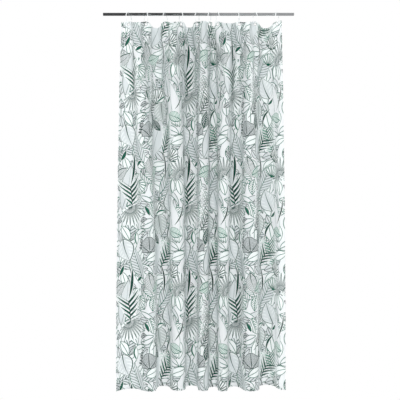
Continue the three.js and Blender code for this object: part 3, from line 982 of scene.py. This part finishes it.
class HungCloth:
    """The whole cloth as it hangs, asked for by flat place and depth below the top edge."""

    def __init__(self, depths):
        self.depths = depths
        self.rows = [plan_row(max(0.0, (d - TOP_HEM) / (CLOTH_DROP - TOP_HEM))) for d in depths]

    def flat_at(self, row, x):
        s, xs, _ = self.rows[row]
        return float(np.interp(x, xs, s))

    def points(self, row, s):
        """Points of one row of the hanging cloth, at flat places s."""
        arcs, xs, ys = self.rows[row]
        depth = self.depths[row]
        x, y = np.interp(s, arcs, xs), np.interp(s, arcs, ys)
        ahead, behind = s + HALF_SLOPE, s - HALF_SLOPE
        dx = np.interp(ahead, arcs, xs) - np.interp(behind, arcs, xs)
        dy = np.interp(ahead, arcs, ys) - np.interp(behind, arcs, ys)
        out = ripple(s, depth) / np.hypot(dx, dy)
        phase = np.clip((s - EDGE_MARGIN) / PITCH, 0, len(RINGS) - 1.001)
        gap = np.diff(RING_X)[phase.astype(int)]
        bow = np.abs(np.sin(phase * math.pi)) ** SAG_SHARPNESS
        sag = TOP_SAG * gap * bow * math.exp(-depth / SAG_DEPTH)
        z = CLOTH_TOP - depth - sag * (1 - depth / CLOTH_DROP)
        return np.stack([x - dy * out, y + dx * out, z], axis=1)


def laid_grid(cloth, places):
    """A grid laid into the folds, with its flat places as UVs, and the flat place of each point."""
    columns, rows = len(places[0]) - 1, len(places) - 1
    form = bmesh.new()
    bmesh.ops.create_grid(form, x_segments=columns, y_segments=rows, size=1)
    points = [cloth.points(row, places[row]) for row in range(rows + 1)]
    spots = {}
    for vert in form.verts:
        column = round((vert.co.x + 1) / 2 * columns)
        row = rows - round((vert.co.y + 1) / 2 * rows)
        spots[vert] = (places[row][column], CLOTH_DROP - cloth.depths[row])
        vert.co = Vector(points[row][column])
    uv = form.loops.layers.uv.new("flat")
    for face in form.faces:
        for loop in face.loops:
            loop[uv].uv = spots[loop.vert]
    return form, spots


def cloth_piece(name, cloth, left, right, shares):
    """One stretch of cloth between two places along the rod, with its flat size and area."""
    spans = [(cloth.flat_at(r, left), cloth.flat_at(r, right)) for r in range(len(cloth.depths))]
    form, spots = laid_grid(cloth, [a + (b - a) * shares for a, b in spans])
    cut_eyelet_holes(form)
    hems = [hem_share(*spots[v]) for v in form.verts]
    bmesh.ops.recalc_face_normals(form, faces=form.faces)
    if sum(f.normal.y for f in form.faces) > 0:
        bmesh.ops.reverse_faces(form, faces=form.faces)
    piece = as_object(form, name)
    thicken(piece, hems)
    widths = [b - a for a, b in spans]
    area = float(np.dot(np.diff(cloth.depths), (np.array(widths[1:]) + widths[:-1]) / 2))
    flat_width = float(max(b for _, b in spans) - min(a for a, _ in spans))
    return piece, (flat_width, CLOTH_DROP), area


def thicken(piece, hems):
    """Gives the cloth its thickness, and its hems theirs."""
    group = piece.vertex_groups.new(name="hem")
    for index, share in enumerate(hems):
        group.add([index], share, "REPLACE")
    solid = piece.modifiers.new("cloth and hems", "SOLIDIFY")
    solid.thickness = HEM_THICKNESS
    solid.offset = -1
    solid.vertex_group = "hem"
    solid.thickness_vertex_group = CLOTH_THICKNESS / HEM_THICKNESS


def hem_share(s, height):
    depth = CLOTH_DROP - height
    on_hem = depth <= TOP_HEM or height <= BOTTOM_HEM or min(s, FLAT_WIDTH - s) <= SIDE_HEM
    return 1.0 if on_hem else 0.0


def cut_eyelet_holes(form):
    """Takes out the cloth inside the eyelets, whose flanges cover the cut."""
    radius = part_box("eyelet_front_01")[1].z - EYELET_Z - HOLE_INSET
    centres = [Vector((x, 0, EYELET_Z)) for x in RING_X]
    middles = [(f, f.calc_center_median()) for f in form.faces]
    gone = [f for f, at in middles if any((at - c).length < radius for c in centres)]
    bmesh.ops.delete(form, geom=gone, context="FACES")


def make_cloth(material):
    """The left edge, the folds from ring to ring, and the right edge."""
    cloth = HungCloth(row_depths())
    fold, edge = column_shares(PITCH), np.array(EDGE_COLUMNS)

    def stretch(name, left, right, shares, rings):
        piece, flat, area = cloth_piece("curtain_" + name, cloth, left, right, shares)
        body = rings[0] if len(rings) == 1 else None
        finish_piece(piece, material, "printed_cloth", body, "cloth_" + name)
        if body is None:
            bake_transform(piece)

    stretch("edge_left", -BEYOND, RING_X[0], edge, RINGS[:1])
    for n in range(len(RINGS) - 1):
        stretch(f"fold_{n + 1:02d}", RING_X[n], RING_X[n + 1], fold, RINGS[n:n + 2])
    stretch("edge_right", RING_X[-1], BEYOND, 1 - edge[::-1], RINGS[-1:])


# ---- rod, rings and eyelets

ROD_WALL = 1 * MM
ROD_CHAMFER = 0.3 * MM
PLUG_GAP = 0.1 * MM
PLUG_DISH = (0.55, 0.5, 0.8 * MM)    # its two radii as shares of the tube's bore, and its depth
PLUG_ROUNDING = 0.4 * MM
PIN_HOLE = 0.1 * MM                  # radius that a turned outline keeps from its axis
RING_WIRE = 1.8 * MM
SLEEVE_SWELL = 1.4
SLEEVE_LENGTH = 9 * MM
SLEEVE_ROUNDING = 0.7 * MM
EYELET_BORE, EYELET_BARREL, EYELET_RIM = 7.0 * MM, 7.6 * MM, 10.0 * MM      # radii
FLANGE_INNER, FLANGE_OUTER = 0.7 * MM, 1.6 * MM      # faces, from the middle of the cloth
WASHER_GAP = 0.1 * MM
FRONT_ROUNDING, WASHER_ROUNDING = 0.5 * MM, 0.35 * MM
DOUBLES = 1e-7
X_AXIS, Y_AXIS, UP = Vector((1, 0, 0)), Vector((0, 1, 0)), Vector((0, 0, 1))


def turned_round(form, geometry, axis, steps):
    bmesh.ops.spin(form, geom=geometry, cent=(0, 0, 0), axis=axis, angle=2 * math.pi, steps=steps,
                   use_merge=True, use_duplicate=False)
    bmesh.ops.remove_doubles(form, verts=form.verts, dist=DOUBLES)


def spun(outline, axis, steps):
    """A closed outline of (radius, distance along the axis) points turned right round."""
    form = bmesh.new()
    verts = [form.verts.new(UP * r + axis * d) for r, d in outline]
    edges = [form.edges.new((a, b)) for a, b in zip(verts, verts[1:] + verts[:1])]
    turned_round(form, verts + edges, axis, steps)
    bmesh.ops.recalc_face_normals(form, faces=form.faces)
    return form


def rounded(corners, radius, steps=3):
    """An outline with every corner rounded off by the same radius, or less on short sides."""
    points = []
    count = len(corners)
    for n, corner in enumerate(corners):
        here = Vector((*corner, 0))
        before, after = Vector((*corners[n - 1], 0)), Vector((*corners[(n + 1) % count], 0))
        cut = min(radius, (before - here).length / 2.2, (after - here).length / 2.2)
        a = here + (before - here).normalized() * cut
        b = here + (after - here).normalized() * cut
        for k in range(steps + 1):
            t = k / steps
            point = a * (1 - t) ** 2 + here * (2 * t * (1 - t)) + b * t ** 2
            points.append((point.x, point.y))
    return points


def make_rod(steel, plug_plastic):
    """The tube, its ends broken by a fine chamfer, and a plug set flush in each end."""
    inner = ROD_RADIUS - ROD_WALL
    broken, short = ROD_RADIUS - ROD_CHAMFER, ROD_END - ROD_CHAMFER
    outline = [(inner, -ROD_END), (broken, -ROD_END), (ROD_RADIUS, -short), (ROD_RADIUS, short),
               (broken, ROD_END), (inner, ROD_END)]
    tube = as_object(spun(outline, X_AXIS, 64), "rod_steel_tube")
    finish_piece(tube, steel, "rod_steel", "rod", "rod_tube")
    for side, node in ((-1, "rod_plug_left"), (1, "rod_plug_right")):
        low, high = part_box(node)
        form = plug_form(inner, high.x - low.x)
        if side < 0:
            bmesh.ops.rotate(form, verts=form.verts, matrix=Matrix.Rotation(math.pi, 3, "Z"))
        start = low.x if side > 0 else high.x
        bmesh.ops.translate(form, verts=form.verts, vec=(start, 0, 0))
        plug = as_object(form, node + "_cap")
        finish_piece(plug, plug_plastic, "rod_plug", "rod", node)


def plug_form(inner, deep):
    """A plug from 0 along +X, with a shallow dish in its outer face."""
    rim, floor, dish = PLUG_DISH
    wide = inner - PLUG_GAP
    corners = [(PIN_HOLE, 0.0), (wide, 0.0), (wide, deep), (inner * rim, deep),
               (inner * floor, deep - dish), (PIN_HOLE, deep - dish)]
    return spun(rounded(corners, PLUG_ROUNDING), X_AXIS, 40)


def ring_form(radius):
    """A ring of round wire, with its snap: a sleeve where the two ends meet."""
    form = bmesh.new()
    circle = bmesh.ops.create_circle(form, cap_ends=False, segments=16, radius=RING_WIRE)["verts"]
    bmesh.ops.translate(form, verts=circle, vec=(radius, 0, 0))
    edges = list({e for v in circle for e in v.link_edges})
    turned_round(form, circle + edges, Y_AXIS, 96)
    wide = RING_WIRE * SLEEVE_SWELL
    sleeve = bmesh.ops.create_cone(form, cap_ends=True, segments=20, radius1=wide, radius2=wide,
                                   depth=SLEEVE_LENGTH)["verts"]
    bmesh.ops.translate(form, verts=sleeve, vec=(radius, 0, 0))
    rims = [e for e in {e for v in sleeve for e in v.link_edges} if len(e.link_faces) == 2
            and any(len(f.verts) > 4 for f in e.link_faces)]
    bmesh.ops.bevel(form, geom=rims, offset=SLEEVE_ROUNDING, segments=3, profile=0.5,
                    affect="EDGES", material=-1)
    bmesh.ops.recalc_face_normals(form, faces=form.faces)
    return form


def set_in_place(form, turn, place):
    """Turns a finished form about the upright axis and moves it to its place."""
    bmesh.ops.rotate(form, verts=form.verts, matrix=Matrix.Rotation(turn, 3, "Z"))
    bmesh.ops.translate(form, verts=form.verts, vec=place)


def make_rings(plastic):
    low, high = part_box(RINGS[0])
    radius = (high.z - low.z) / 2 - RING_WIRE
    for node, x, turn in zip(RINGS, RING_X, RING_TURN):
        form = ring_form(radius)
        set_in_place(form, turn, (x, 0, RING_Z))
        finish_piece(as_object(form, node + "_wire"), plastic, "ring_plastic", node, node)


def make_eyelets(plastic):
    """Each eyelet's flanged barrel and the washer behind it, their edges rolled."""
    flanged = rounded([(EYELET_BORE, -FLANGE_OUTER), (EYELET_RIM, -FLANGE_OUTER),
                       (EYELET_RIM, -FLANGE_INNER), (EYELET_BARREL, -FLANGE_INNER),
                       (EYELET_BARREL, FLANGE_OUTER), (EYELET_BORE, FLANGE_OUTER)], FRONT_ROUNDING)
    hole = EYELET_BARREL + WASHER_GAP
    washer = rounded([(hole, FLANGE_INNER), (EYELET_RIM, FLANGE_INNER),
                      (EYELET_RIM, FLANGE_OUTER), (hole, FLANGE_OUTER)], WASHER_ROUNDING)
    for n, ring in enumerate(RINGS):
        for kind, outline in (("eyelet_front", flanged), ("eyelet_washer", washer)):
            form = spun(outline, Y_AXIS, 40)
            set_in_place(form, EYELET_TURN[n], (RING_X[n], 0, EYELET_Z))
            node = f"{kind}_{n + 1:02d}"
            finish_piece(as_object(form, node + "_moulding"), plastic, "eyelet_plastic", ring, node)


# ---- the scene

bpy.context.scene.view_settings.view_transform = "Standard"
make_camera()
make_world()
make_lights()
make_floor()

WEAR = wear_group()
make_rod(steel_material(WEAR), plastic_material(WEAR, "plug plastic"))
make_rings(plastic_material(WEAR, "ring plastic"))
make_eyelets(plastic_material(WEAR, "eyelet plastic"))
make_cloth(cloth_material(weave_group(), stitch_group()))
